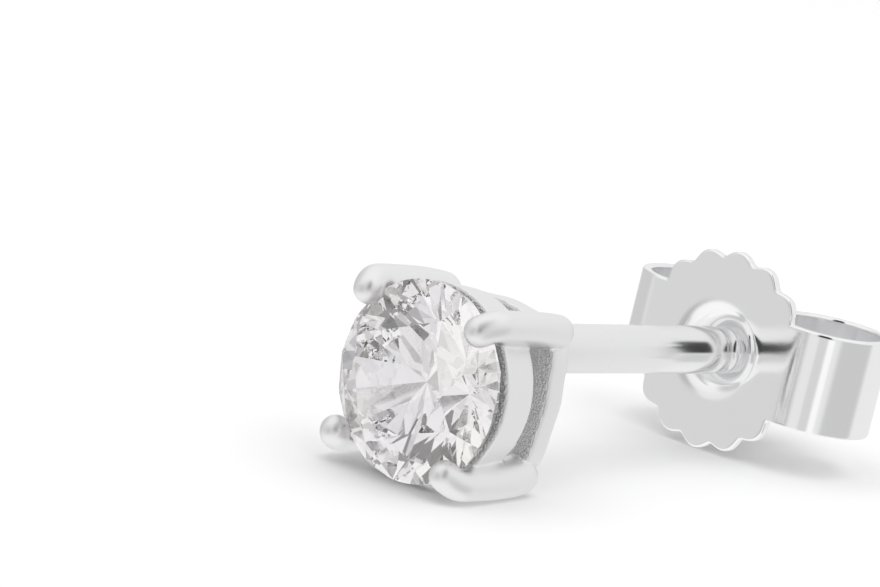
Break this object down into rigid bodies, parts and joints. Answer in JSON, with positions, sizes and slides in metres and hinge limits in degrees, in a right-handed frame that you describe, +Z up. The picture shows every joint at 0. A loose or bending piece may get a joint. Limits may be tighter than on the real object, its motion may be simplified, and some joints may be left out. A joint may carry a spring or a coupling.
{
  "type": "stud earring with push-on clutch",
  "caption": "Claw-set round stone on a straight post, with a scalloped push-on clutch whose two arms roll back and grip the post.",
  "frame": {"origin": "on the surface that the earring rests on, under the middle of its bounding box", "axes": "+X from the stone's table to the free end of the post, apart from the small dip and roll at rest; +Y to the left of someone who looks along +X; +Z up"},
  "size_m": [0.0132, 0.006, 0.0043],
  "materials": {
    "silver": "polished silver, cast head and rolled sheet clutch",
    "stone": "clear, colourless, polished facets"
  },
  "bodies": {
    "stud": {"setting": "silver", "stone": "stone"},
    "clutch": {"clutch": "silver"}
  },
  "joints": [
    {"name": "clutch_slide", "type": "slide", "parent": "stud", "child": "clutch", "axis": [0.9982, 0, -0.0605], "range_m": [-0.007, 0.0031]}
  ]
}
